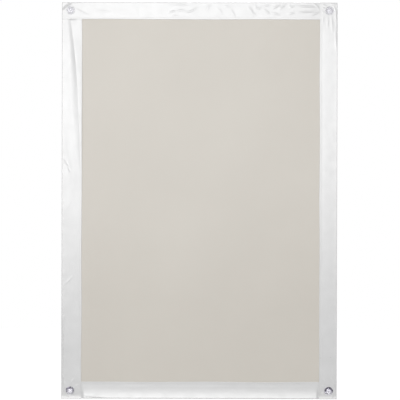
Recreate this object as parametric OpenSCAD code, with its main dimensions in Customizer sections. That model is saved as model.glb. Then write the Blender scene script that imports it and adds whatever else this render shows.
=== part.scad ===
// Flat sun blind for a roof window. A sheet of blackout cloth is bound on all four
// sides with folded vinyl bands, and a clear suction cup is buttoned through each
// corner, so that the blind is pressed onto the glass from inside the room.
// +X is to the right, +Y towards the glass and +Z up. The origin is the centre of
// the cloth, half way through its thickness.

/* [Blind] */
// Width over the folds of the side bands
blind_w = 358; // [280:1:900]
// Height over the folds of the top and bottom bands
blind_h = 515; // [400:1:1300]

/* [Cloth] */
// Thickness of the coated cloth
cloth_t = 0.5; // [0.3:0.05:1]
// How far the slack waves of the cloth stand to either side
wave_h = 0.8; // [0.1:0.1:2]
// Number of waves across the cloth
waves_across = 1.5; // [0.5:0.5:3]
// Number of waves down the cloth
waves_down = 2; // [0.5:0.5:4]

/* [Bands] */
// Seen width of the left band
left_band_w = 26; // [22:0.5:40]
// Seen width of the right band
right_band_w = 23; // [22:0.5:40]
// Seen width of the top band
top_band_w = 22; // [21:0.5:40]
// Seen width of the bottom band
bottom_band_w = 22; // [21:0.5:40]
// Thickness of the vinyl
vinyl_t = 0.35; // [0.2:0.05:0.6]
// Distance from a band's inner edge to its seam
seam_inset = 2.5; // [1:0.5:4]
// How far a band's slack leaf stands off the cloth between seam and fold
slack_h = 0.3; // [0.1:0.05:0.6]
// How far the roll of a band's fold stands out past the cloth's own thickness
roll_h = 0.9; // [0.3:0.1:1.2]
// Length over which a band steps down from the band that it laps
step_run = 6; // [2:0.5:8]

/* [Creases] */
// Length of the long crease that runs down the left band from the top band
crease_len = 190; // [60:5:230]
// Height of the long crease
crease_h = 0.8; // [0.2:0.1:1.5]
// Half width of the long crease
crease_w = 2.5; // [1.5:0.25:4]
// Height of the highest crinkle in the top band
crinkle_h = 0.6; // [0.2:0.1:1]
// Half width of a crinkle across the top band
crinkle_w = 3; // [2:0.5:4]
// Half length of a crinkle along the top band
crinkle_run = 2.5; // [1:0.5:3]

/* [Suction cups] */
// Distance of the left cups from the left edge
cup_inset_left = 11.5; // [11:0.5:14]
// Distance of the right cups from the right edge
cup_inset_right = 10.5; // [10.5:0.5:14]
// Distance of every cup from the top or bottom edge
cup_inset_end = 10.5; // [10.5:0.5:14]
// Diameter of the bell at its lip
bell_d = 20; // [17:0.5:20]
// Height of the bell from its shoulder to the glass
bell_h = 5; // [4.5:0.25:6]
// Diameter of the boss behind the sheet
boss_d = 9; // [8:0.5:11]
// Height of the boss
boss_h = 1; // [0.5:0.25:1.5]
// Width of the flat sealing lip
lip_w = 1.2; // [0.8:0.1:2]
// Thickness of the lip at its outer edge
lip_t = 0.8; // [0.5:0.1:1.2]
// Depth of the suction hollow
hollow_h = 3.2; // [2:0.1:3.6]
// Diameter of the neck
neck_d = 6; // [4:0.5:7]
// Diameter of the mushroom head
head_d = 11; // [9:0.5:14]
// Height of the mushroom head
head_h = 3.4; // [2.8:0.1:4.5]
// Radius of the head's rim
rim_r = 0.9; // [0.5:0.1:1.2]
// Height of the head's crown over its rim
crown_h = 1; // [0.5:0.1:1.6]

/* [Fits] */
// Air between two sewn layers
lay_gap = 0.05; // [0.02:0.01:0.1]
// Radial running clearance of a neck in its punched hole
hole_gap = 0.1; // [0.02:0.01:0.1]
// Air between the sheet and a head, or a bell's boss
seat_gap = 0.3; // [0.1:0.05:0.5]

/* [Hidden] */
// Level of the inner skin of a band on the cloth, and of a band that laps another
on_cloth = cloth_t / 2 + lay_gap;
on_band = on_cloth + vinyl_t + lay_gap;
// Half thickness of the five layers at a corner, which is also the outer radius of
// the fold there and the distance of a lapped band's cut end from the edge
stack = on_band + vinyl_t;
// Distance of the cloth's edge from the blind's edge
cloth_inset = on_cloth + vinyl_t;
// Past the edge of the band that it laps, a band stays level a little longer
step_gap = 0.5;
// Length over which a band's slack and roll grow from nothing beside a neighbour
slack_run = 10;

// Crinkles of the top band: share of its free length, skew, share of the room across
// the band, and share of the height
crinkles = [
    [0.18, 0.3, 0.6, 0.4], [0.38, 0.3, 0.5, 0.5], [0.47, 0.1, 0.3, 0.6], [0.54, 0, 0.2, 0.6],
    [0.64, 0.4, 0.8, 0.7], [0.72, 0.4, 0.6, 1], [0.79, 0.3, 0.6, 0.9], [0.84, 0.2, 0.1, 1],
    [0.89, 0.2, 0.15, 0.8], [0.95, 0.2, 0.5, 0.7]
];
// The long crease from the top down: share of its length, of the room across the
// band, and of its height
crease_path = [
    [0.03, 0.45, 0.7], [0.1, 0.52, 1], [0.27, 0.68, 1],
    [0.53, 0.9, 0.8], [0.82, 0.97, 0.4], [1, 1, 0]
];
// Cells of the cloth's grid between the bands, across and down
cells_x = 14;
cells_z = 20;
// Steps of a fold's half circle, and of each curve of a cup
fold_steps = 6;
curve_steps = 8;

// Height of the cloth's waves at a share across and a share up, nought at the bands
function wave(a, b) =
    wave_h * sin(180 * a) * sin(180 * b)
    * sin(360 * (waves_across * a + 0.3 * b)) * cos(180 * waves_down * (b - 0.2 * a));

// Level of a leaf's inner skin at a share of the way from the seam to the fold
function level(t, lay, slack, roll) =
    lay + (t > 0 ? slack * sin(180 * t) + roll * pow(t, 3) : 0);

// The front leaf's points from the inner edge to the fold, each as distance from the
// blind's edge and level of its inner skin. The middle one of them is the crease.
function front_leaf(w, lay, slack, roll, crease_u, half, crease) =
    let (fold = lay + roll + vinyl_t, seam = w - seam_inset)
    [
        for (u = [
            w, seam, (seam + crease_u + half) / 2, crease_u + half, crease_u,
            crease_u - half, (crease_u - half + fold) / 2
        ])
        [
            u,
            level((seam - u) / (seam - fold), lay, slack, roll) + (u == crease_u ? crease : 0)
        ]
    ];

// The back leaf's points from the fold to the inner edge
function back_leaf(w, lay, slack, roll) =
    let (fold = lay + roll + vinyl_t, seam = w - seam_inset)
    [
        for (t = [0.85, 0.6, 0.3, 0, -1])
        [t < 0 ? w : seam - t * (seam - fold), level(t, lay, slack, roll)]
    ];

// A fold's half circle from the front leaf to the back leaf
function fold_arc(fold, r) =
    [
        for (i = [0:fold_steps])
        let (a = 180 * i / fold_steps - 90)
        [fold - r * cos(a), r * sin(a)]
    ];

// One section of a band: the outer skin from the front leaf's edge round the fold to
// the back leaf's edge, and then the inner skin back again. A station holds the
// distance along the band, the inner skin's level, the share of slack and roll, the
// skew, the crease's share of the room across and its height.
function section(station, w, half) =
    let (
        lay = station[1],
        roll = roll_h * station[2],
        slack = slack_h * station[2],
        fold = lay + roll + vinyl_t,
        crease_u = fold + half + station[4] * (w - seam_inset - fold - 2 * half),
        front = front_leaf(w, lay, slack, roll, crease_u, half, station[5]),
        back = back_leaf(w, lay, slack, roll),
        outer = concat(
            [for (p = front) [p[0], -p[1] - vinyl_t]],
            fold_arc(fold, fold),
            [for (p = back) [p[0], p[1] + vinyl_t]]
        ),
        inner = concat(
            [for (p = front) [p[0], -p[1]]],
            fold_arc(fold, lay + roll),
            back
        ),
        ring = concat(outer, [for (i = [len(inner) - 1:-1:0]) inner[i]])
    )
    [for (p = ring) [p[0], p[1], station[0] + station[3] * (p[0] - w / 2)]];

// A station of a band's free length
function free_station(s) = [s, on_cloth, 1, 0, 0.5, 0];

// The stations where a neighbour of the given width holds a band flat, from its cut
// end. The band either laps the neighbour or is lapped by it.
function held_stations(from, neighbour_w, laps) =
    let (lay = laps ? on_band : on_cloth, edge = neighbour_w + step_gap)
    concat(
        [[from, lay, 0, 0, 0.5, 0], [edge, lay, 0, 0, 0.5, 0]],
        laps ? [[edge + step_run, on_cloth, 0, 0, 0.5, 0]] : []
    );

// Where a band's free length starts beside a neighbour
function free_from(neighbour_w, laps) =
    neighbour_w + step_gap + (laps ? step_run : 0) + slack_run;

// The stations at a band's start, from its cut end to its free length
function start_stations(from, neighbour_w, laps) =
    concat(
        held_stations(from, neighbour_w, laps),
        [free_station(free_from(neighbour_w, laps))]
    );

// The same stations counted back from a band's other end
function from_end(full, stations) =
    [
        for (i = [len(stations) - 1:-1:0])
        let (s = stations[i])
        [full - s[0], s[1], s[2], s[3], s[4], s[5]]
    ];

// A band lofted through its stations, with its fold on X = 0 and its start at Z = 0
module loft(w, half, stations) {
    rings = [for (s = stations) section(s, w, half)];
    n = len(rings[0]);
    last = (len(rings) - 1) * n;
    polyhedron(
        points = [for (r = rings) each r],
        faces = concat(
            [
                for (i = [0:len(rings) - 2], j = [0:n - 1])
                let (a = i * n + j, b = i * n + (j + 1) % n)
                each [[a, b, b + n], [a, b + n, a + n]]
            ],
            [
                for (j = [0:n / 2 - 2])
                each [[j, n - 1 - j, n - 2 - j], [j, n - 2 - j, j + 1]]
            ],
            [
                for (j = [0:n / 2 - 2])
                each [
                    [last + j, last + j + 1, last + n - 2 - j],
                    [last + j, last + n - 2 - j, last + n - 1 - j]
                ]
            ]
        ),
        convexity = 6
    );
}

// Quarter of a band's loose width, the half spacing of its points without a crease
function quarter(w) = (w - seam_inset - on_band - vinyl_t) / 4;

// Centre of a cup: side is -1 at the left and 1 at the right, end is -1 at the bottom
function cup_x(side) =
    side < 0 ? -blind_w / 2 + cup_inset_left : blind_w / 2 - cup_inset_right;
function cup_z(end) = end * (blind_h / 2 - cup_inset_end);

module at_cup(side, end) {
    translate([cup_x(side), 0, cup_z(end)]) children();
}

// Holes punched for the necks at the four corners
module punched_holes() {
    for (side = [-1, 1], end = [-1, 1]) {
        at_cup(side, end)
            rotate([90, 0, 0])
                cylinder(r = neck_d / 2 + hole_gap, h = 4 * stack, center = true, $fn = 48);
    }
}

module fabric_panel() {
    x0 = -blind_w / 2 + cloth_inset;
    x1 = -blind_w / 2 + left_band_w;
    x2 = blind_w / 2 - right_band_w;
    x3 = blind_w / 2 - cloth_inset;
    z0 = -blind_h / 2 + cloth_inset;
    z1 = -blind_h / 2 + bottom_band_w;
    z2 = blind_h / 2 - top_band_w;
    z3 = blind_h / 2 - cloth_inset;
    xs = concat([x0], [for (i = [0:cells_x]) x1 + (x2 - x1) * i / cells_x], [x3]);
    zs = concat([z0], [for (i = [0:cells_z]) z1 + (z2 - z1) * i / cells_z], [z3]);
    nx = len(xs);
    nz = len(zs);
    back = nx * nz;
    // Share of the open cloth up to a grid line, held at the bands
    function share(i, cells) = max(0, min(1, (i - 1) / cells));
    points = [
        for (t = [-1, 1], k = [0:nz - 1], i = [0:nx - 1])
        [xs[i], wave(share(i, cells_x), share(k, cells_z)) + t * cloth_t / 2, zs[k]]
    ];
    rim = concat(
        [for (i = [0:nx - 2]) i],
        [for (k = [0:nz - 2]) k * nx + nx - 1],
        [for (i = [nx - 1:-1:1]) (nz - 1) * nx + i],
        [for (k = [nz - 1:-1:1]) k * nx]
    );
    faces = concat(
        [
            for (k = [0:nz - 2], i = [0:nx - 2])
            let (a = k * nx + i)
            each [[a, a + nx, a + nx + 1], [a, a + nx + 1, a + 1]]
        ],
        [
            for (k = [0:nz - 2], i = [0:nx - 2])
            let (a = back + k * nx + i)
            each [[a, a + nx + 1, a + nx], [a, a + 1, a + nx + 1]]
        ],
        [
            for (j = [0:len(rim) - 1])
            let (a = rim[j], b = rim[(j + 1) % len(rim)])
            each [[a, b, b + back], [a, b + back, a + back]]
        ]
    );
    color("#d4cfc8")
        difference() {
            polyhedron(points = points, faces = faces, convexity = 6);
            punched_holes();
        }
}

module bottom_band() {
    color("#f2f2f2")
        difference() {
            translate([-blind_w / 2, 0, -blind_h / 2])
                rotate([0, 90, 0])
                    mirror([1, 0, 0])
                        loft(bottom_band_w, quarter(bottom_band_w), concat(
                            start_stations(stack, left_band_w, false),
                            from_end(blind_w, start_stations(stack, right_band_w, false))
                        ));
            punched_holes();
        }
}

module left_band() {
    // The crease runs down from the top band's edge
    crease_top = blind_h - top_band_w - step_gap;
    color("#f7f7f7")
        difference() {
            translate([-blind_w / 2, 0, -blind_h / 2])
                loft(left_band_w, crease_w, concat(
                    start_stations(0, bottom_band_w, true),
                    [
                        for (i = [len(crease_path) - 1:-1:0])
                        let (c = crease_path[i], down = c[0] * crease_len)
                        [
                            crease_top - down, on_cloth, min(1, down / slack_run),
                            0, c[1], c[2] * crease_h
                        ]
                    ],
                    from_end(blind_h, held_stations(stack, top_band_w, false))
                ));
            punched_holes();
        }
}

module top_band() {
    free_a = free_from(left_band_w, true);
    free_b = blind_w - free_from(right_band_w, false);
    color("#fafafa")
        difference() {
            translate([-blind_w / 2, 0, blind_h / 2])
                rotate([0, 90, 0])
                    loft(top_band_w, crinkle_w, concat(
                        start_stations(0, left_band_w, true),
                        [
                            for (c = crinkles, side = [-1, 0, 1])
                            [
                                free_a + c[0] * (free_b - free_a) + side * crinkle_run,
                                on_cloth, 1, c[1], c[2], side == 0 ? c[3] * crinkle_h : 0
                            ]
                        ],
                        from_end(blind_w, start_stations(stack, right_band_w, false))
                    ));
            punched_holes();
        }
}

module right_band() {
    color("#f4f4f4")
        difference() {
            translate([blind_w / 2, 0, -blind_h / 2])
                mirror([1, 0, 0])
                    loft(right_band_w, quarter(right_band_w), concat(
                        start_stations(0, bottom_band_w, true),
                        from_end(blind_h, start_stations(0, top_band_w, true))
                    ));
            punched_holes();
        }
}

// Points of an arc of an ellipse about a centre, from one angle to another
function arc(centre, rx, ry, from, to) =
    [
        for (i = [0:curve_steps])
        let (a = from + (to - from) * i / curve_steps)
        [centre[0] + rx * cos(a), centre[1] + ry * sin(a)]
    ];

// Half section of a cup, as radius and distance from the middle of the sheet: the
// head in front of the sheet is below nought and the bell behind it above
function cup_profile() =
    let (
        seat = stack + seat_gap,
        head_r = head_d / 2,
        neck_r = neck_d / 2,
        bell_r = bell_d / 2,
        boss_r = boss_d / 2,
        crown_y = -seat - head_h + crown_h,
        glass = seat + bell_h
    )
    concat(
        // The crown and the rim of the head
        arc([0, crown_y], head_r - rim_r, crown_h, -90, -15),
        arc([head_r - rim_r, -seat - rim_r], rim_r, rim_r, 0, 90),
        [[neck_r, -seat], [neck_r, seat], [boss_r, seat]],
        // The bell's outer skin and its lip
        arc([boss_r, glass - lip_t], bell_r - boss_r, bell_h - boss_h - lip_t, -90, 0),
        [[bell_r, glass], [bell_r - lip_w, glass]],
        // The suction hollow
        arc([0, glass], bell_r - lip_w, hollow_h, 0, -90)
    );

module suction_cup(side, end) {
    color([0.88, 0.88, 0.93, 0.55])
        at_cup(side, end)
            rotate([-90, 0, 0])
                rotate_extrude($fn = 96)
                    polygon(cup_profile());
}

module suction_cup_top_left() {
    suction_cup(-1, 1);
}

module suction_cup_top_right() {
    suction_cup(1, 1);
}

module suction_cup_bottom_left() {
    suction_cup(-1, -1);
}

module suction_cup_bottom_right() {
    suction_cup(1, -1);
}

fabric_panel();
bottom_band();
left_band();
top_band();
right_band();
suction_cup_top_left();
suction_cup_top_right();
suction_cup_bottom_left();
suction_cup_bottom_right();
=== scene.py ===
"""Dresses the roof window blind: coated cloth, folded vinyl bands, seams and clear suction cups.

Lengths of the blind are in millimetres until they are placed, those of the studio in metres.
"""

import math

import bpy
import numpy as np
from mathutils import Matrix, Vector, noise


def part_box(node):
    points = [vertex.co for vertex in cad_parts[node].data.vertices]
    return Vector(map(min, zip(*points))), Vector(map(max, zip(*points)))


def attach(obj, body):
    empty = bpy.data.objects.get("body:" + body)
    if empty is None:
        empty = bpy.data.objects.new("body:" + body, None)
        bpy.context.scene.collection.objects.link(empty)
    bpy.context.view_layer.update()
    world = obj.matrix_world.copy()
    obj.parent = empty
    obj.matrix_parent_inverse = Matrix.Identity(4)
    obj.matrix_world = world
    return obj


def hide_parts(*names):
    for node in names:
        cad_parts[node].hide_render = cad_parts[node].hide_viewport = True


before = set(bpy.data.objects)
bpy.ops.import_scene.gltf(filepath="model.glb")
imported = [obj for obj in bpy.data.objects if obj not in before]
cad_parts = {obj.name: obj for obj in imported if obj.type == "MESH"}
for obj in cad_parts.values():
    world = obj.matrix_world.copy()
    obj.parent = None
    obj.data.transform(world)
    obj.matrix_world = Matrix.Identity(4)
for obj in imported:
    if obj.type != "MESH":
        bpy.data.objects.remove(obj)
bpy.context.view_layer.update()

MM = 0.001
# A distance below this counts as none
TINY = 1e-6

# Layers of the sheet, as in the construction
CLOTH_T = 0.5
VINYL_T = 0.35
LAY_GAP = 0.05
ON_CLOTH = CLOTH_T / 2 + LAY_GAP
ON_BAND = ON_CLOTH + VINYL_T + LAY_GAP
STACK = ON_BAND + VINYL_T
CLOTH_INSET = ON_CLOTH + VINYL_T

# Shape of the bands: where the seam lies, the step over a lapped band, and the fold
SEAM_INSET = 2.5
STEP_GAP = 0.5
STEP_RUN = 24
FOLD_SHARE = 0.5
# Length over which a fold turns from creased to round
ROUND_RUN = 12
# The inner edge strays by this much, over waves of this size
EDGE_WAVE = 0.6
EDGE_WAVE_SIZE = 75
# The lower corners' rise: height, length and how late it begins
CORNER_ROLL = 0.6
CORNER_RUN = 4.8
CORNER_POWER = 1.5
# The slack leaf's unevenness: height, size and the step to its own seed
WOBBLES = ((0.10, 34, 0), (0.05, 11, 7))
# How far the slack leaf stands off, and the shares of the way from the seam to the fold over
# which the slack and the crinkles rise
PUFF = 0.1
SLACK_RISE = 0.25
CRINKLE_RISE = 0.08
# Crinkles rise over this length past a band on top, and between these distances from the rim
# of a cup's head
LAP_RUN = 2
PRESSED_TO = 0.4
FREE_FROM = 1.6

# Grid steps of the bands and of the cloth
BAND_STEP = 0.8
LEAF_COLS = 44
FOLD_COLS = 8
BACK_STEP = 3.0
CLOTH_STEP = 2.2
# Beside the cups' holes the lines lie closer together
FINE_STEP = 0.8
FINE_RUN = 4.8
# Points within this share of a step from a hole's rim are drawn onto it
RIM_SHARE = 0.45

# Suction cups, where they meet the sheet
NECK_R = 3.0
HOLE_R = 3.1
HEAD_R = 5.5
SEAT_GAP = 0.3


def box_mm(node):
    """A node's low and high corners at rest, in millimetres."""
    low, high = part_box(node)
    return np.array(low) / MM, np.array(high) / MM


left_lo, left_hi = box_mm("left_band")
right_lo, right_hi = box_mm("right_band")
top_lo = box_mm("top_band")[0]
bottom_hi = box_mm("bottom_band")[1]
EDGE_LEFT = left_lo[0]
EDGE_RIGHT = right_hi[0]
EDGE_BOTTOM = right_lo[2]
EDGE_TOP = right_hi[2]
BLIND_W = EDGE_RIGHT - EDGE_LEFT
BLIND_H = EDGE_TOP - EDGE_BOTTOM
LEFT_W = left_hi[0] - EDGE_LEFT
RIGHT_W = EDGE_RIGHT - right_lo[0]
TOP_W = EDGE_TOP - top_lo[2]
BOTTOM_W = bottom_hi[2] - EDGE_BOTTOM

CUPS = (
    "suction_cup_top_left",
    "suction_cup_top_right",
    "suction_cup_bottom_left",
    "suction_cup_bottom_right",
)


def cup_centre(node):
    """Where a cup's axis meets the sheet, as X and Z."""
    low, high = box_mm(node)
    return (low[0] + high[0]) / 2, (low[2] + high[2]) / 2


def smooth(x, low, high):
    """From 0 at low to 1 at high, with flat ends."""
    t = np.clip((x - low) / (high - low), 0, 1)
    return t * t * (3 - 2 * t)


def ripple(x, z, size, seed):
    """Soft noise from -1 to 1 over the sheet, with features of the given size."""
    flat = np.array([
        noise.noise(Vector((a / size, b / size, seed)))
        for a, b in zip(np.ravel(x), np.ravel(z))
    ])
    return flat.reshape(np.shape(x))


# Crinkles

# A crinkle fades towards its ends along a half sine, from this share of it and over this one
FADE_FROM = 0.12
FADE_SHARE = 0.76


def crinkle(x, z, path, width, height):
    """A pinched line in the vinyl along a path of points."""
    field = np.zeros(np.shape(x))
    points = [(EDGE_LEFT + a, EDGE_TOP - b) for a, b in path]
    total = sum(math.dist(p, q) for p, q in zip(points, points[1:]))
    done = 0.0
    for (ax, az), (bx, bz) in zip(points, points[1:]):
        run = math.dist((ax, az), (bx, bz))
        t = np.clip(((x - ax) * (bx - ax) + (z - az) * (bz - az)) / run**2, 0, 1)
        away = np.hypot(x - ax - t * (bx - ax), z - az - t * (bz - az))
        along = (done + t * run) / total
        fade = np.sin(np.pi * (FADE_FROM + FADE_SHARE * along))
        field = np.maximum(field, fade * np.exp(-((away / width) ** 2)))
        done += run
    return height * field


# The bands' crinkles: a path of points, as distances from the blind's left and top edges,
# then the half width and the height
TOP_CRINKLES = (
    (((1.5, 9.5), (4.5, 6), (8.5, 3), (12.5, 1.5)), 0.7, 1.2),
    (((26.5, 2.5), (27, 19.5)), 0.8, 0.16),
    (((11, 1), (24.5, 2)), 0.9, 0.2),
    (((18, 9), (27, 13.5), (36, 18)), 1.1, 0.25),
    (((46.5, 11), (62, 13), (66, 17.5)), 1.5, 0.17),
    (((68.5, 3), (69.5, 13.5)), 1.5, 0.16),
    (((98.5, 7), (101, 17.5)), 1.8, 0.16),
    (((139, 13.5), (144, 11.5), (148, 12)), 1.0, 0.28),
    (((149, 11.5), (155, 10), (161, 12)), 1.2, 0.27),
    (((143, 17), (151, 16)), 1.0, 0.19),
    (((159, 12), (164.5, 12.5), (170, 10.5), (175.5, 6.5)), 1.1, 0.28),
    (((139, 3.5), (154, 3), (169, 3.5)), 1.1, 0.24),
    (((193.5, 2), (189.5, 5.5), (188.5, 10.5)), 1.2, 0.25),
    (((202.5, 8), (208, 14.5)), 1.3, 0.19),
    (((210.5, 4.5), (218, 6)), 1.1, 0.22),
    (((219.5, 9.5), (224.5, 18.5)), 1.2, 0.27),
    (((241.5, 5.5), (249.5, 18.5)), 2.4, 0.39),
    (((246.5, 12), (252, 17.5)), 1.6, 0.23),
    (((250.5, 2), (252, 7), (256, 8), (260, 3)), 1.0, 0.27),
    (((261, 5), (270.5, 3)), 1.0, 0.25),
    (((262.5, 9.5), (269, 14.5)), 1.5, 0.35),
    (((274, 8), (282, 3)), 1.2, 0.35),
    (((283, 8), (289.5, 2.5)), 1.2, 0.33),
    (((295, 2.5), (296.5, 6.5), (303, 3.5)), 1.0, 0.27),
    (((273, 13.5), (282, 15.5)), 1.2, 0.27),
    (((295, 14.5), (301.5, 13)), 1.1, 0.25),
    (((304, 4.5), (333, 5.5)), 1.0, 0.33),
    (((306.5, 12), (329, 12)), 1.0, 0.3),
    (((324, 16.5), (335, 11.5)), 1.0, 0.31),
    (((326.5, 1), (335, 8)), 1.0, 0.39),
)
RIGHT_CRINKLES = (
    (((353, 5), (355.5, 11), (356, 20), (356.5, 31)), 0.8, 0.4),
    (((350, 18.5), (351.5, 37.5)), 1.2, 0.17),
    (((345, 19), (345, 31)), 1.1, 0.18),
    (((339.5, 18), (338.5, 26)), 1.0, 0.16),
    (((355, 38), (356.5, 62)), 1.0, 0.18),
    (((336.5, 6), (341.5, 7.5)), 0.8, 0.3),
    (((337.5, 2), (343.5, 5)), 0.8, 0.35),
    (((337, 13), (342, 12)), 0.8, 0.3),
    (((349, 2.5), (355.5, 2)), 0.8, 0.3),
    (((350.5, 489), (354.5, 495), (355.5, 504), (352, 512)), 0.9, 0.4),
    (((337.5, 497), (341.5, 501)), 0.8, 0.3),
    (((340, 488), (344, 497)), 0.8, 0.28),
    (((337, 508), (341.5, 507)), 0.8, 0.28),
)
LEFT_CRINKLES = (
    (((3.5, 202.5), (6, 209)), 1.0, 0.26),
    (((6, 207), (9.5, 214)), 1.1, 0.3),
    (((8.5, 214), (12, 222.5)), 1.2, 0.4),
    (((7, 168), (10.5, 193), (14.5, 214), (16, 240)), 4.6, 0.42),
    (((13.5, 256.5), (7, 267)), 1.2, 0.13),
    (((14, 357), (3.5, 367.5)), 1.2, 0.13),
    (((3.5, 407.5), (2, 440), (2, 465), (2, 486)), 0.6, 0.45),
    (((2, 484), (2.5, 496), (4, 505), (9.5, 511.5)), 0.6, 0.9),
    (((16, 489.5), (12.5, 495)), 0.8, 0.28),
    (((3.5, 493), (6, 498)), 0.8, 0.3),
    (((18, 499), (22, 497.5)), 0.8, 0.25),
)
BOTTOM_CRINKLES = (
    (((27, 510.5), (42, 512), (58, 512.5)), 1.0, 0.25),
)

# The long crease in the left band: distance below the top edge, distance of its crest from
# the left edge, height and width of its steep flank
LONG_CREASE = (
    (20, 10.4, 0.52, 4.5),
    (28, 11.9, 0.62, 4.8),
    (52, 15.3, 0.98, 6.0),
    (75, 17.6, 1.2, 7.0),
    (95, 19.3, 1.16, 7.8),
    (115, 20.6, 1.05, 8.4),
    (140, 21.6, 0.97, 8.4),
    (165, 22.8, 0.8, 6.6),
    (190, 23.4, 0.6, 5.0),
    (210, 24.2, 0.4, 4.2),
    (235, 25.0, 0.0, 4.2),
)
# How late the steep flank rises, the gentle flank's width, how round the crest is, and the
# length over which the crease comes out from under the top band
CREASE_POWER = 1.5
CREASE_FALL = 9.5
CREST_ROUND = 0.2
CREASE_START = 1.5


def long_crease(band, s, u):
    """The long crease's height: a flank that steepens from the fold, then an even gentle one."""
    down = band.length - s
    at, across, height, width = (np.array(v, float) for v in zip(*LONG_CREASE))
    middle = np.interp(down, at, across)
    tall = np.interp(down, at, height, left=0) * smooth(down - TOP_W, 0, CREASE_START)
    wide = np.interp(down, at, width)
    before = np.clip((u - middle + wide) / wide, 0, 1) ** CREASE_POWER
    run = np.clip((u - middle) / CREASE_FALL, 0, 1)
    most = math.hypot(1, CREST_ROUND) - CREST_ROUND
    after = 1 - (np.hypot(run, CREST_ROUND) - CREST_ROUND) / most
    return tall * np.where(u < middle, before, after)


# Bands


class Band:
    """A folded band: where its edge and its directions lie, and what it meets at its ends."""

    def __init__(
        self, name, width, corner, inward, along, length, start, end, form, round_fold,
        crinkles, seed,
    ):
        self.name = name
        self.width = width
        self.corner = np.array(corner, float)
        self.inward = np.array(inward, float)
        self.along = np.array(along, float)
        self.length = length
        # Each end: the cut's distance from the blind's edge, the neighbour's width, and
        # whether this band laps the neighbour
        self.start = start
        self.end = end
        # Height of the slack and of the roll, how late the roll begins, and the length over
        # which both rise beside a neighbour
        self.slack, self.roll, self.power, self.rise = form
        # Stretch of the edge where the fold is round rather than creased, and how round
        self.round_fold = round_fold
        self.crinkles = crinkles
        self.seed = seed

    def plane(self, s, u):
        """Points of the sheet's plane, as X and Z."""
        return (
            self.corner[0] + self.along[0] * s + self.inward[0] * u,
            self.corner[1] + self.along[1] * s + self.inward[1] * u,
        )

    def cup_row(self):
        """Distance from the edge to the nearest row of cups."""
        places = [np.array(cup_centre(node)) for node in CUPS]
        return min(float(np.dot(place - self.corner, self.inward)) for place in places)

    def ends(self, s):
        """For each end: distance past the neighbour's inner edge, and whether it is lapped."""
        for (_, neighbour_w, laps), d in ((self.start, s), (self.end, self.length - s)):
            yield d - neighbour_w - STEP_GAP, laps

    def lay(self, s):
        """Level of the inner skin: on the cloth, or on the band that it laps."""
        level = np.full(np.shape(s), ON_CLOTH)
        for past, laps in self.ends(s):
            if laps:
                level = level + (ON_BAND - ON_CLOTH) * (1 - smooth(past, 0, STEP_RUN))
        return level

    def free(self, s):
        """Share of the free length: 0 where a neighbour presses the band flat."""
        share = np.ones(np.shape(s))
        for past, laps in self.ends(s):
            share = share * smooth(past, 0, STEP_RUN + self.rise if laps else self.rise)
        return share

    def height(self, s):
        """Height of the fold above the cloth's middle."""
        return self.lay(s) + self.roll * self.free(s) + VINYL_T

    def fold(self, s):
        """How far in from the edge the fold reaches."""
        low, high, extra = self.round_fold
        rounder = smooth(s, low, low + ROUND_RUN) * (1 - smooth(s, high - ROUND_RUN, high))
        return FOLD_SHARE * self.height(s) + extra * rounder

    def wave(self, s):
        """How far the inner edge strays from a straight line."""
        stray = ripple(s, np.zeros(np.shape(s)), EDGE_WAVE_SIZE, self.seed + 3)
        return EDGE_WAVE * self.free(s) * stray

    def crinkled(self, x, z, s):
        """Height of the crinkles over the smooth leaf."""
        field = np.zeros(np.shape(x))
        for path, width, height in self.crinkles:
            field = np.maximum(field, crinkle(x, z, path, width, height))
        # A neighbour that lies on top keeps the band smooth under it
        for past, laps in self.ends(s):
            if not laps:
                field = field * smooth(past, 0, LAP_RUN)
        # The heads of the cups press it flat
        for node in CUPS:
            cx, cz = cup_centre(node)
            away = np.hypot(x - cx, z - cz)
            field = field * smooth(away, HEAD_R + PRESSED_TO, HEAD_R + FREE_FROM)
        return field

    def corner_roll(self, z, s):
        """Rise of the two lower corners towards the bottom edge, below the heads of the cups."""
        t = np.clip((CORNER_RUN - (z - EDGE_BOTTOM)) / CORNER_RUN, 0, 1)
        pressed = 1 if self.along[1] else 1 - self.free(s)
        return CORNER_ROLL * pressed * t**CORNER_POWER

    def wobble(self, x, z, s):
        """Slow unevenness of the slack leaf."""
        return self.free(s) * sum(
            height * ripple(x, z, size, self.seed + step) for height, size, step in WOBBLES
        )

    def levels(self, s, u, side):
        """Level of the leaf's inner skin; side is -1 at the front and 1 at the back."""
        x, z = self.plane(s, u)
        free = self.free(s)
        lay = self.lay(s)
        roll = self.roll * free
        seam = self.width - SEAM_INSET
        t = np.clip((seam - u) / (seam - self.fold(s)), 0, 1)
        # From the seam outwards to the fold
        level = lay + roll * t**self.power + self.slack * free * np.sin(np.pi * t) ** 2
        if side < 0:
            slack = np.maximum(self.wobble(x, z, s) + PUFF * free, 0)
            level = level + smooth(t, 0, SLACK_RISE) * slack
            level = level + smooth(t, 0, CRINKLE_RISE) * self.crinkled(x, z, s)
            level = level + self.corner_roll(z, s)
            if self.name == "left_band":
                level = level + long_crease(self, s, u)
        return level


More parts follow.
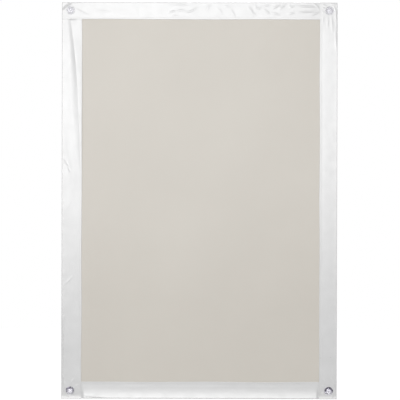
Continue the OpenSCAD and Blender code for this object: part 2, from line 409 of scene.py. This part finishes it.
# A fold that is creased all along
NO_ROUND = (0, 2 * ROUND_RUN, 0)
BANDS = (
    Band(
        "bottom_band", BOTTOM_W, corner=(EDGE_LEFT, EDGE_BOTTOM), inward=(0, 1), along=(1, 0),
        length=BLIND_W, start=(STACK, LEFT_W, False), end=(STACK, RIGHT_W, False),
        form=(0, 1.7, 2.2, 3), round_fold=NO_ROUND, crinkles=BOTTOM_CRINKLES, seed=3.1,
    ),
    Band(
        "left_band", LEFT_W, corner=(EDGE_LEFT, EDGE_BOTTOM), inward=(1, 0), along=(0, 1),
        length=BLIND_H, start=(0, BOTTOM_W, True), end=(STACK, TOP_W, False),
        form=(0.1, 0.3, 3, 14), round_fold=(20, 112, 1.3), crinkles=LEFT_CRINKLES, seed=5.7,
    ),
    Band(
        "top_band", TOP_W, corner=(EDGE_LEFT, EDGE_TOP), inward=(0, -1), along=(1, 0),
        length=BLIND_W, start=(0, LEFT_W, True), end=(STACK, RIGHT_W, False),
        form=(0.15, 0.5, 3, 14), round_fold=NO_ROUND, crinkles=TOP_CRINKLES, seed=8.3,
    ),
    Band(
        "right_band", RIGHT_W, corner=(EDGE_RIGHT, EDGE_BOTTOM), inward=(-1, 0), along=(0, 1),
        length=BLIND_H, start=(0, BOTTOM_W, True), end=(0, TOP_W, True),
        form=(0.1, 0.3, 3, 14), round_fold=(455, 512, 0.9), crinkles=RIGHT_CRINKLES, seed=11.9,
    ),
)


def grid_lines(low, high, step, places):
    """Even grid lines from low to high, which lie closer together beside the given places."""
    lines = np.linspace(low, high, int((high - low) / step) + 1)
    for place in places:
        lines = lines[np.abs(lines - place) > FINE_RUN + FINE_STEP / 2]
        fine = np.arange(place - FINE_RUN, place + FINE_RUN + FINE_STEP / 2, FINE_STEP)
        lines = np.concatenate([lines, fine])
    return np.sort(lines)


def punched(x, z, step):
    """Moves grid points beside a hole onto its rim, and says which points are in a hole."""
    inside = np.zeros(np.shape(x), bool)
    for node in CUPS:
        cx, cz = cup_centre(node)
        away = np.hypot(x - cx, z - cz)
        near = away < HOLE_R + RIM_SHARE * step
        pull = np.where(near, HOLE_R / np.maximum(away, TINY), 1)
        x = cx + (x - cx) * pull
        z = cz + (z - cz) * pull
        inside |= near
    return x, z, inside


def grid_object(name, x, y, z, skip, thickness, material):
    """A sheet over a grid of points, without the cells whose four corners are all skipped."""
    rows, cols = x.shape
    points = np.stack([x, y, z], -1).reshape(-1, 3) * MM
    index = np.arange(rows * cols).reshape(rows, cols)
    quads = np.stack([index[:-1, :-1], index[:-1, 1:], index[1:, 1:], index[1:, :-1]], -1)
    quads = quads.reshape(-1, 4)
    gone = skip.reshape(-1)[quads].all(axis=1)
    quads = quads[~gone]
    used = np.unique(quads)
    place = np.zeros(rows * cols, int)
    place[used] = np.arange(len(used))
    mesh = bpy.data.meshes.new(name)
    mesh.from_pydata(points[used].tolist(), [], place[quads].tolist())
    mesh.shade_smooth()
    obj = bpy.data.objects.new(name, mesh)
    bpy.context.collection.objects.link(obj)
    obj.data.materials.append(material)
    thick = obj.modifiers.new("thickness", "SOLIDIFY")
    thick.thickness = thickness * MM
    thick.offset = 0
    thick.use_even_offset = True
    return obj


def band_surface(band):
    """The middle surface of a band's vinyl, from the front leaf's inner edge to the back's."""
    first = band.start[0]
    last = band.length - band.end[0]
    rows = int(round((last - first) / BAND_STEP)) + 1
    s_line = np.linspace(first, last, rows)[:, None]
    half = VINYL_T / 2
    height = band.height(s_line)
    fold = band.fold(s_line)
    wave = band.wave(s_line)

    def leaf(share, side):
        """Points of one leaf; share goes from 0 at the inner edge to 1 at the fold."""
        u = band.width - share * (band.width - fold)
        u = u + wave * (u - fold) / (band.width - fold)
        s = np.broadcast_to(s_line, u.shape)
        x, z = band.plane(s, u)
        x, z, inside = punched(x, z, BAND_STEP)
        u_there = (x - band.corner[0]) * band.inward[0] + (z - band.corner[1]) * band.inward[1]
        s_there = (x - band.corner[0]) * band.along[0] + (z - band.corner[1]) * band.along[1]
        return x, side * (band.levels(s_there, u_there, side) + half), z, inside

    front = leaf(np.linspace(0, 1, LEAF_COLS)[None, :], -1)
    back_lines = grid_lines(0, band.width, BACK_STEP, [band.cup_row()])
    back = leaf((1 - back_lines / band.width)[None, :], 1)
    angles = np.linspace(-np.pi / 2, np.pi / 2, FOLD_COLS + 1)[1:-1][None, :]
    # The front leaf's own level where it turns into the fold carries on round it
    lift = (-front[1][:, -1:] - height + half) * np.cos((angles + np.pi / 2) / 2)
    radius = height - half + lift
    u = fold - (fold - half) * np.cos(angles)
    s = np.broadcast_to(s_line, u.shape)
    x, z = band.plane(s, u)
    turned = (x, radius * np.sin(angles), z, np.zeros(x.shape, bool))
    return [np.concatenate(part, axis=1) for part in zip(front, turned, back)]


def make_band(band, material):
    """The folded vinyl strip of a band."""
    x, y, z, inside = band_surface(band)
    obj = grid_object(band.name + "_vinyl", x, y, z, inside, VINYL_T, material)
    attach(obj, "sheet")
    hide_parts(band.name)


# Seams

STITCH_PITCH = 3.0
STITCH_LEN = 2.2
THREAD_R = 0.17
# A stitch's share of thickness at its tips, how deep it sits in the vinyl, and how high it
# arches
STITCH_TIP = 0.55
STITCH_SINK = 0.12
STITCH_ARCH = 0.16
STITCH_SIDES = 6
STITCH_RINGS = 5
# Where a row starts at an end of a band that lies on top
SEAM_END = 1.5


def make_seam(band, side, material):
    """The row of stitches along a band's inner edge, on the front or on the back."""
    seam = band.width - SEAM_INSET
    first, last = (SEAM_END if laps else width for _, width, laps in (band.start, band.end))
    last = band.length - last
    count = int((last - first) // STITCH_PITCH)
    points, faces = [], []
    for i in range(count):
        middle = first + (i + 0.5) * (last - first) / count
        base = len(points)
        for k in range(STITCH_RINGS):
            t = k / (STITCH_RINGS - 1)
            s = middle + (t - 0.5) * STITCH_LEN
            arch = math.sin(math.pi * t)
            here = np.array([[s]])
            level = float(band.lay(here)[0, 0]) + VINYL_T
            if band.name == "left_band" and side < 0:
                level += float(long_crease(band, here, seam)[0, 0])
            x, z = band.plane(s, seam + float(band.wave(here)[0, 0]) * seam / band.width)
            r = THREAD_R * (STITCH_TIP + (1 - STITCH_TIP) * arch)
            y = side * (level - STITCH_SINK + STITCH_ARCH * arch)
            for j in range(STITCH_SIDES):
                a = 2 * math.pi * j / STITCH_SIDES
                across = r * math.cos(a)
                points.append((
                    (x + band.inward[0] * across) * MM,
                    (y + r * math.sin(a)) * MM,
                    (z + band.inward[1] * across) * MM,
                ))
        for k in range(STITCH_RINGS - 1):
            for j in range(STITCH_SIDES):
                a = base + k * STITCH_SIDES + j
                b = base + k * STITCH_SIDES + (j + 1) % STITCH_SIDES
                faces.append((a, b, b + STITCH_SIDES, a + STITCH_SIDES))
        faces.append(tuple(base + j for j in range(STITCH_SIDES))[::-1])
        tip = base + (STITCH_RINGS - 1) * STITCH_SIDES
        faces.append(tuple(tip + j for j in range(STITCH_SIDES)))
    name = f"{band.name}_seam_{'front' if side < 0 else 'back'}"
    mesh = bpy.data.meshes.new(name)
    mesh.from_pydata(points, [], faces)
    mesh.validate()
    mesh.shade_smooth()
    obj = bpy.data.objects.new(name, mesh)
    bpy.context.collection.objects.link(obj)
    obj.data.materials.append(material)
    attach(obj, "sheet")


# Cloth

# The slack waves: height, their number across and down, and how far they lean
WAVE_H = 0.8
WAVES_ACROSS = 1.5
WAVES_DOWN = 2
LEAN_ACROSS = 0.3
LEAN_DOWN = 0.2
# Smaller unevenness: height, size and seed; it fades only close to the bands
SMALL_WAVES = ((0.10, 55, 2.5), (0.03, 18, 6.5))
SMALL_RISE = 6


def cloth_wave(x, z):
    """The slack waves of the cloth between the bands."""
    a = np.clip((x - EDGE_LEFT - LEFT_W) / (BLIND_W - LEFT_W - RIGHT_W), 0, 1)
    b = np.clip((z - EDGE_BOTTOM - BOTTOM_W) / (BLIND_H - BOTTOM_W - TOP_W), 0, 1)
    calm = np.sin(np.pi * a) * np.sin(np.pi * b)
    wave = np.sin(2 * np.pi * (WAVES_ACROSS * a + LEAN_ACROSS * b))
    wave = wave * np.cos(np.pi * WAVES_DOWN * (b - LEAN_DOWN * a))
    small = sum(height * ripple(x, z, size, seed) for height, size, seed in SMALL_WAVES)
    return WAVE_H * calm * wave + small * np.minimum(1, SMALL_RISE * calm)


def make_cloth(material):
    """The cloth, from fold to fold of the bands, with a punched hole at each cup."""
    across, down = (np.unique(np.round(v, 3)) for v in zip(*map(cup_centre, CUPS)))
    x_line = grid_lines(EDGE_LEFT + CLOTH_INSET, EDGE_RIGHT - CLOTH_INSET, CLOTH_STEP, across)
    z_line = grid_lines(EDGE_BOTTOM + CLOTH_INSET, EDGE_TOP - CLOTH_INSET, CLOTH_STEP, down)
    x, z = np.meshgrid(x_line, z_line)
    x, z, inside = punched(x, z, FINE_STEP)
    y = cloth_wave(x, z)
    obj = grid_object("blackout_cloth", x, y, z, inside, CLOTH_T, material)
    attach(obj, "sheet")
    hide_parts("fabric_panel")


# Suction cups

CUP_TURNS = 72
ARC_STEPS = 12
BELL_R = 10.0
BELL_H = 5.0
BOSS_R = 4.5
BOSS_H = 1.0
BOSS_FILLET = 0.35
LIP_W = 1.2
LIP_T = 0.8
# The lip's bevel, across and along the axis
LIP_BEVEL_R = 0.12
LIP_BEVEL_H = 0.2
HOLLOW_H = 3.2
HEAD_H = 3.4
RIM_R = 0.9
CROWN_H = 1.0
# Where the arc of the crown ends and that of the rim begins, in degrees
CROWN_END = -15
RIM_START = -40
# Keeps the corners at the neck's ends sharp
NECK_EDGE = 0.01
# A head's lumps and dents begin over these distances in front of its seat
HEAD_RISE = (0.2, 1.2)
# Lumps of a head's outline: their share of the radius, and how close they lie. Dents of its
# crown: depth, how far they lean inwards, and size.
LUMP_SHARE = 0.07
LUMP_RATE = 1.3
DENT_DEPTH = 0.55
DENT_LEAN = 0.3
DENT_SIZE = 2.4
# Edges that turn by more than this, in degrees, look sharp
SHARP_ANGLE = 50
# How each cup's head is lumped, how much painted shade its colour carries and how light that
# painted shade is, in the order of the cups
HEADS = ((4.6, 0.0, 0.0), (1.7, 0.14, 0.0), (9.2, 0.92, 0.05), (9.7, 1.0, -0.25))


def arc(cx, cy, rx, ry, first, last):
    """Points of an ellipse's arc, with the angles in degrees."""
    angles = np.radians(np.linspace(first, last, ARC_STEPS + 1))
    return [(cx + rx * math.cos(a), cy + ry * math.sin(a)) for a in angles]


def cup_profile():
    """Half section of a cup from the head's middle to the hollow's: radius and Y."""
    seat = STACK + SEAT_GAP
    glass = seat + BELL_H
    return (
        arc(0, -seat - HEAD_H + CROWN_H, HEAD_R - RIM_R, CROWN_H, -90, CROWN_END)
        + arc(HEAD_R - RIM_R, -seat - RIM_R, RIM_R, RIM_R, RIM_START, 90)
        + [(NECK_R + NECK_EDGE, -seat), (NECK_R, -seat + NECK_EDGE)]
        + [(NECK_R, seat - NECK_EDGE), (NECK_R + NECK_EDGE, seat)]
        + [(BOSS_R - BOSS_FILLET, seat), (BOSS_R, seat + BOSS_FILLET)]
        + arc(BOSS_R, glass - LIP_T, BELL_R - BOSS_R, BELL_H - BOSS_H - LIP_T, -90, 0)
        + [(BELL_R, glass - LIP_BEVEL_H), (BELL_R - LIP_BEVEL_R, glass), (BELL_R - LIP_W, glass)]
        + arc(0, glass, BELL_R - LIP_W, HOLLOW_H, 0, -90)
    )


def on_head(y):
    """One on the crown and the rim of the head, and nothing behind them."""
    return smooth(-STACK - SEAT_GAP - y, *HEAD_RISE)


def head_lump(r, y, a, seed):
    """Share by which the head's outline strays from a circle."""
    around = Vector((math.cos(a), math.sin(a), seed))
    return float(LUMP_SHARE * on_head(y) * (r / HEAD_R) * noise.noise(around * LUMP_RATE))


def head_dent(r, y, a, seed):
    """Depth of the shallow dents in the crown."""
    spot = Vector((r * math.cos(a) / DENT_SIZE, r * math.sin(a) / DENT_SIZE, seed + 5))
    return float(DENT_DEPTH * on_head(y) * (noise.noise(spot) + DENT_LEAN))


def make_cup(node, seed, painted_shade, pale, material):
    """A cup turned about its axis, with the slightly lumpy head of soft moulded vinyl."""
    cx, cz = cup_centre(node)
    profile = cup_profile()
    points, faces = [], []
    rings = []
    out_share = []
    for r, y in profile:
        if r < TINY:
            rings.append([len(points)])
            points.append((cx * MM, y * MM, cz * MM))
            out_share.append(0.0)
            continue
        ring = []
        for j in range(CUP_TURNS):
            a = 2 * math.pi * j / CUP_TURNS
            ring.append(len(points))
            lump = 1 + head_lump(r, y, a, seed)
            out_x = r * lump * math.cos(a)
            out_z = r * lump * math.sin(a)
            there = y + head_dent(r, y, a, seed)
            points.append(((cx + out_x) * MM, there * MM, (cz + out_z) * MM))
            out_share.append(r / HEAD_R)
        rings.append(ring)
    for low, high in zip(rings, rings[1:]):
        for j in range(CUP_TURNS):
            k = (j + 1) % CUP_TURNS
            if len(low) == 1:
                faces.append((low[0], high[j], high[k]))
            elif len(high) == 1:
                faces.append((low[j], high[0], low[k]))
            else:
                faces.append((low[j], high[j], high[k], low[k]))
    mesh = bpy.data.meshes.new(node)
    mesh.from_pydata(points, [], faces)
    mesh.shade_smooth()
    mesh.set_sharp_from_angle(angle=math.radians(SHARP_ANGLE))
    count = len(points)
    # How far from the axis a point lies, how much painted shade the head carries and how light
    # that painted shade is, kept for the material
    looks = {"out_share": out_share, "painted_shade": [painted_shade] * count, "pale": [pale] * count}
    for name, values in looks.items():
        mesh.attributes.new(name, "FLOAT", "POINT").data.foreach_set("value", values)
    obj = bpy.data.objects.new(node + "_clear", mesh)
    bpy.context.collection.objects.link(obj)
    obj.data.materials.append(material)
    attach(obj, node.replace("suction_", ""))
    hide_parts(node)


# Materials

# Most values of a noise lie between these
NOISE_RANGE = (0.2, 0.8)
# Each surface drifts between a darker and a paler tone
VINYL_TONES = ((0.645, 0.645, 0.645), (0.670, 0.670, 0.670))
CLOTH_TONES = ((0.645, 0.611, 0.556), (0.672, 0.638, 0.582))
CLOTH_BACK = (0.74, 0.75, 0.76)
# Roughness of the cloth's face and of its back, and how far a surface that counts as the back
# looks towards the window
CLOTH_ROUGHNESS = (0.2, 0.38)
BACK_NORMAL = 0.3
THREAD_TONES = ((0.66, 0.66, 0.65), (0.74, 0.74, 0.73))
CLEAN_TONES = ((0.86, 0.855, 0.88), (0.99, 0.985, 0.99))
# Tones of the painted shade on the lower heads, from its darkest to its lightest
PAINTED_SHADE_TONES = ((0.05, 0.042, 0.085), (0.86, 0.83, 0.94))
# What the cups' thickness leaves of the light
CLEAR_TINT = (0.6, 0.59, 0.66)
CLEAR_DENSITY = 85
# Heights over which a head's painted shade darkens and over which the painted shade comes in,
# upwards, in metres from the middle of a lower cup
DARK_RISE = (-0.0045, 0.0015)
PAINTED_SHADE_RISE = (-0.0048, 0.0012)


def new_material(name):
    """An empty node material with a shader and an output."""
    material = bpy.data.materials.new(name)
    material.use_nodes = True
    nodes = material.node_tree.nodes
    nodes.clear()
    shader = nodes.new("ShaderNodeBsdfPrincipled")
    output = nodes.new("ShaderNodeOutputMaterial")
    links = material.node_tree.links
    links.new(shader.outputs["BSDF"], output.inputs["Surface"])
    return material, nodes, links, shader


def noise_node(nodes, links, coordinates, scale, detail):
    """Noise over the object's own coordinates."""
    node = nodes.new("ShaderNodeTexNoise")
    node.inputs["Scale"].default_value = scale
    node.inputs["Detail"].default_value = detail
    links.new(coordinates.outputs["Object"], node.inputs["Vector"])
    return node


def joined(nodes, links, operation, values):
    """Adds or multiplies several values, or takes the greatest of them."""
    total = values[0]
    for value in values[1:]:
        both = nodes.new("ShaderNodeMath")
        both.operation = operation
        links.new(total, both.inputs[0])
        links.new(value, both.inputs[1])
        total = both.outputs["Value"]
    return total


def attribute_node(nodes, name):
    """A value that the mesh carries at its points."""
    node = nodes.new("ShaderNodeAttribute")
    node.attribute_name = name
    return node


def range_node(nodes, links, value, before, after):
    """Maps one range of values to another."""
    node = nodes.new("ShaderNodeMapRange")
    node.inputs["From Min"].default_value, node.inputs["From Max"].default_value = before
    node.inputs["To Min"].default_value, node.inputs["To Max"].default_value = after
    links.new(value, node.inputs["Value"])
    return node


def spread_node(nodes, links, value, low, high):
    """Maps a noise's usual range to the given one."""
    return range_node(nodes, links, value, NOISE_RANGE, (low, high))


def mix_colour(nodes, links, factor, first, second):
    """A colour between two others."""
    node = nodes.new("ShaderNodeMix")
    node.data_type = "RGBA"
    node.inputs["A"].default_value = (*first, 1)
    node.inputs["B"].default_value = (*second, 1)
    links.new(factor, node.inputs["Factor"])
    return node


def drifting_colour(nodes, links, where, scale, detail, tones):
    """A colour that drifts between two tones over the surface."""
    drift = noise_node(nodes, links, where, scale, detail)
    spread = spread_node(nodes, links, drift.outputs["Fac"], 0, 1)
    return mix_colour(nodes, links, spread.outputs["Result"], *tones)


def bump_node(nodes, links, height, strength, distance, before=None):
    """Relief from a height, on top of an earlier relief where one is given."""
    node = nodes.new("ShaderNodeBump")
    node.inputs["Strength"].default_value = strength
    node.inputs["Distance"].default_value = distance
    links.new(height, node.inputs["Height"])
    if before is not None:
        links.new(before.outputs["Normal"], node.inputs["Normal"])
    return node


def vinyl_material():
    """White coated vinyl: glossy, with a faint grain and uneven shine."""
    material, nodes, links, shader = new_material("white_vinyl")
    where = nodes.new("ShaderNodeTexCoord")
    colour = drifting_colour(nodes, links, where, scale=60, detail=1, tones=VINYL_TONES)
    links.new(colour.outputs["Result"], shader.inputs["Base Color"])
    shine = noise_node(nodes, links, where, scale=90, detail=1)
    rough = spread_node(nodes, links, shine.outputs["Fac"], low=0.27, high=0.35)
    links.new(rough.outputs["Result"], shader.inputs["Roughness"])
    grain = noise_node(nodes, links, where, scale=1400, detail=2)
    fine = bump_node(nodes, links, grain.outputs["Fac"], strength=0.3, distance=0.00001)
    dents = noise_node(nodes, links, where, scale=130, detail=1)
    relief = dents.outputs["Fac"]
    soft = bump_node(nodes, links, relief, strength=0.12, distance=0.0005, before=fine)
    links.new(soft.outputs["Normal"], shader.inputs["Normal"])
    shader.inputs["Specular IOR Level"].default_value = 1.0
    return material


def cloth_material():
    """Beige coated blackout cloth with a fine plain weave, and a pale silvery back."""
    material, nodes, links, shader = new_material("beige_cloth")
    where = nodes.new("ShaderNodeTexCoord")
    face = drifting_colour(nodes, links, where, scale=9, detail=3, tones=CLOTH_TONES)
    # The back carries a pale reflective coating
    split = nodes.new("ShaderNodeSeparateXYZ")
    links.new(where.outputs["Normal"], split.inputs["Vector"])
    back = nodes.new("ShaderNodeMath")
    back.operation = "GREATER_THAN"
    back.inputs[1].default_value = BACK_NORMAL
    links.new(split.outputs["Y"], back.inputs[0])
    sides = mix_colour(nodes, links, back.outputs["Value"], CLOTH_BACK, CLOTH_BACK)
    links.new(face.outputs["Result"], sides.inputs["A"])
    links.new(sides.outputs["Result"], shader.inputs["Base Color"])
    rough = range_node(nodes, links, back.outputs["Value"], before=(0, 1), after=CLOTH_ROUGHNESS)
    links.new(rough.outputs["Result"], shader.inputs["Roughness"])
    # Threads of the weave, across and along
    threads = []
    for axis in ("X", "Z"):
        wave = nodes.new("ShaderNodeTexWave")
        wave.wave_type = "BANDS"
        wave.bands_direction = axis
        wave.inputs["Scale"].default_value = 720
        wave.inputs["Distortion"].default_value = 0.6
        wave.inputs["Detail"].default_value = 1
        links.new(where.outputs["Object"], wave.inputs["Vector"])
        threads.append(wave.outputs["Fac"])
    relief = joined(nodes, links, "MAXIMUM", threads)
    weave = bump_node(nodes, links, relief, strength=0.3, distance=0.00005)
    links.new(weave.outputs["Normal"], shader.inputs["Normal"])
    shader.inputs["Specular IOR Level"].default_value = 0.14
    return material


def thread_material():
    """White polyester thread."""
    material, nodes, links, shader = new_material("white_thread")
    where = nodes.new("ShaderNodeTexCoord")
    colour = drifting_colour(nodes, links, where, scale=900, detail=2, tones=THREAD_TONES)
    links.new(colour.outputs["Result"], shader.inputs["Base Color"])
    shader.inputs["Roughness"].default_value = 0.6
    return material


def clear_material():
    """Clear soft vinyl of the suction cups, with an uneven skin and painted shade on the lower
    heads.
    """
    material, nodes, links, shader = new_material("clear_vinyl")
    where = nodes.new("ShaderNodeTexCoord")
    split = nodes.new("ShaderNodeSeparateXYZ")
    links.new(where.outputs["Object"], split.inputs["Vector"])
    # Cloudy blotches: a random tint of the clear plastic, and the blotches of the painted shade
    cloudy = noise_node(nodes, links, where, scale=480, detail=0)
    spread = spread_node(nodes, links, cloudy.outputs["Fac"], low=-0.6, high=1.6)
    clean = mix_colour(nodes, links, spread.outputs["Result"], *CLEAN_TONES)
    # A head's painted shade is lightest in its middle and at its lower edge, which is painted
    # light, and darkest towards its top
    low_cup = cup_centre("suction_cup_bottom_left")[1] * MM
    out = attribute_node(nodes, "out_share")
    middle = range_node(nodes, links, out.outputs["Fac"], before=(0.2, 0.7), after=(0.2, -0.1))
    heights = [low_cup + height for height in DARK_RISE]
    upper = range_node(nodes, links, split.outputs["Z"], before=heights, after=(0.6, -0.1))
    pale = attribute_node(nodes, "pale")
    mixed = joined(nodes, links, "ADD", (
        spread.outputs["Result"],
        middle.outputs["Result"],
        upper.outputs["Result"],
        pale.outputs["Fac"],
    ))
    shaded_colour = mix_colour(nodes, links, mixed, *PAINTED_SHADE_TONES)
    # How much painted shade the head carries: only on its front, and coming in upwards
    painted_shade = attribute_node(nodes, "painted_shade")
    front = range_node(nodes, links, split.outputs["Y"], before=(0.001, -0.001), after=(0, 1))
    heights = [low_cup + height for height in PAINTED_SHADE_RISE]
    edge = range_node(nodes, links, split.outputs["Z"], before=heights, after=(0.12, 1))
    share = joined(nodes, links, "MULTIPLY", (
        painted_shade.outputs["Fac"], front.outputs["Result"], edge.outputs["Result"],
    ))
    colour = nodes.new("ShaderNodeMix")
    colour.data_type = "RGBA"
    links.new(share, colour.inputs["Factor"])
    links.new(clean.outputs["Result"], colour.inputs["A"])
    links.new(shaded_colour.outputs["Result"], colour.inputs["B"])
    links.new(colour.outputs["Result"], shader.inputs["Base Color"])
    smear = spread_node(nodes, links, cloudy.outputs["Fac"], low=0.03, high=0.08)
    links.new(smear.outputs["Result"], shader.inputs["Roughness"])
    uneven = noise_node(nodes, links, where, scale=330, detail=1)
    skin = bump_node(nodes, links, uneven.outputs["Fac"], strength=0.8, distance=0.0008)
    links.new(skin.outputs["Normal"], shader.inputs["Normal"])
    shader.inputs["Transmission Weight"].default_value = 1.0
    shader.inputs["IOR"].default_value = 1.53
    # Where there is painted shade the head is also less see-through
    cover = range_node(nodes, links, share, before=(0, 1), after=(0.22, 0.85))
    links.new(cover.outputs["Result"], shader.inputs["Alpha"])
    # The plastic takes away more light where it is thick
    absorb = nodes.new("ShaderNodeVolumeAbsorption")
    absorb.inputs["Color"].default_value = (*CLEAR_TINT, 1)
    absorb.inputs["Density"].default_value = CLEAR_DENSITY
    links.new(absorb.outputs["Volume"], nodes["Material Output"].inputs["Volume"])
    return material


# Studio

CAMERA_DISTANCE = 1.733
CAMERA_LENS = 120
SENSOR = 36
# The blind stands a little low and left of the picture's middle, and is turned a little
CAMERA_X = 0.0008
CAMERA_Z = 0.00085
CAMERA_ROLL = math.radians(0.14)
CAMERA_CLIP = 20
# Each soft box: place, target, turn about its aim in degrees, width, height and power. The
# first is over and behind the camera, the second behind the blind, where the window is.
SOFT_BOX = ((-0.19, -1.9, 0.34), (-0.19, 0, 0.34), 7, 1.3, 0.9, 20.4)
REAR_BOX = ((0.25, 1.7, 0.9), (0, 0, 0), 0, 1.3, 0.9, 20)
FLOOR_SIZE = 12
FLOOR_Z = -0.75
FLOOR_GREY = 0.55
FLOOR_GLOW = 0.79
FLAG_SIZE = 6
FLAG_PLACE = (0, -2.4, -3.25)
FLAG_GREY = 0.03
# Light from all around, beside the white that is seen behind the blind
AMBIENT = 0.49


def background_ray(nodes, links):
    """One for rays that show the background: to the camera, in gloss, through clear parts."""
    path = nodes.new("ShaderNodeLightPath")
    rays = ("Is Camera Ray", "Is Glossy Ray", "Is Transmission Ray")
    return joined(nodes, links, "MAXIMUM", [path.outputs[ray] for ray in rays])


def pale_floor():
    """A pale floor that shades and takes shadows, and is seen as nearly white."""
    material = bpy.data.materials.new("pale_floor")
    material.use_nodes = True
    nodes = material.node_tree.nodes
    links = material.node_tree.links
    nodes.clear()
    plain = nodes.new("ShaderNodeBsdfDiffuse")
    plain.inputs["Color"].default_value = (FLOOR_GREY, FLOOR_GREY, FLOOR_GREY, 1)
    glow = nodes.new("ShaderNodeEmission")
    seen = nodes.new("ShaderNodeMath")
    seen.operation = "MULTIPLY"
    seen.inputs[1].default_value = FLOOR_GLOW
    links.new(background_ray(nodes, links), seen.inputs[0])
    links.new(seen.outputs["Value"], glow.inputs["Strength"])
    both = nodes.new("ShaderNodeAddShader")
    links.new(plain.outputs["BSDF"], both.inputs[0])
    links.new(glow.outputs["Emission"], both.inputs[1])
    output = nodes.new("ShaderNodeOutputMaterial")
    links.new(both.outputs["Shader"], output.inputs["Surface"])
    return material


def plane(name, size, place, turn, material):
    """A square of the studio."""
    half = size / 2
    corners = [(-half, -half, 0), (half, -half, 0), (half, half, 0), (-half, half, 0)]
    mesh = bpy.data.meshes.new(name)
    mesh.from_pydata(corners, [], [(0, 1, 2, 3)])
    obj = bpy.data.objects.new(name, mesh)
    bpy.context.collection.objects.link(obj)
    obj.location = place
    obj.rotation_euler = turn
    obj.data.materials.append(material)
    return obj


def area_light(name, place, target, turn, width, height, power):
    """A soft box that is aimed at its target."""
    data = bpy.data.lights.new(name, "AREA")
    data.shape = "RECTANGLE"
    data.size = width
    data.size_y = height
    data.energy = power
    obj = bpy.data.objects.new(name, data)
    bpy.context.collection.objects.link(obj)
    obj.location = place
    aim = Vector(target) - Vector(place)
    level = aim.to_track_quat("-Z", "Y").to_matrix().to_4x4()
    spin = Matrix.Rotation(math.radians(turn), 4, "Z")
    obj.matrix_world = Matrix.Translation(place) @ level @ spin
    return obj


def make_studio():
    """The camera, the white surroundings, the soft boxes, the floor and the dark flag."""
    camera = bpy.data.cameras.new("camera")
    camera.lens = CAMERA_LENS
    camera.sensor_width = SENSOR
    camera.clip_end = CAMERA_CLIP
    eye = bpy.data.objects.new("camera", camera)
    bpy.context.collection.objects.link(eye)
    look = Matrix.Rotation(math.radians(90), 4, "X") @ Matrix.Rotation(CAMERA_ROLL, 4, "Z")
    eye.matrix_world = Matrix.Translation((CAMERA_X, -CAMERA_DISTANCE, CAMERA_Z)) @ look
    bpy.context.scene.camera = eye

    world = bpy.data.worlds.new("world")
    bpy.context.scene.world = world
    world.use_nodes = True
    nodes = world.node_tree.nodes
    links = world.node_tree.links
    level = nodes.new("ShaderNodeMapRange")
    level.inputs["To Min"].default_value = AMBIENT
    level.inputs["To Max"].default_value = 1
    links.new(background_ray(nodes, links), level.inputs["Value"])
    nodes["Background"].inputs["Color"].default_value = (1, 1, 1, 1)
    links.new(level.outputs["Result"], nodes["Background"].inputs["Strength"])

    area_light("soft_box", *SOFT_BOX)
    rear = area_light("rear_box", *REAR_BOX)
    rear.visible_transmission = False

    plane("floor", FLOOR_SIZE, (0, 0, FLOOR_Z), (0, 0, 0), pale_floor())

    # A dark flag under the soft box, which only gloss and clear parts show
    dark = bpy.data.materials.new("dark_flag")
    dark.use_nodes = True
    shader = dark.node_tree.nodes["Principled BSDF"]
    shader.inputs["Base Color"].default_value = (FLAG_GREY, FLAG_GREY, FLAG_GREY, 1)
    flag = plane("flag", FLAG_SIZE, FLAG_PLACE, (math.radians(90), 0, 0), dark)
    flag.visible_camera = False
    flag.visible_diffuse = False
    flag.visible_shadow = False
    bpy.context.scene.view_settings.view_transform = "Standard"


make_studio()
vinyl = vinyl_material()
thread = thread_material()
clear = clear_material()
make_cloth(cloth_material())
for band in BANDS:
    make_band(band, vinyl)
    make_seam(band, -1, thread)
    make_seam(band, 1, thread)
for node, (seed, painted_shade, pale) in zip(CUPS, HEADS):
    make_cup(node, seed, painted_shade, pale, clear)
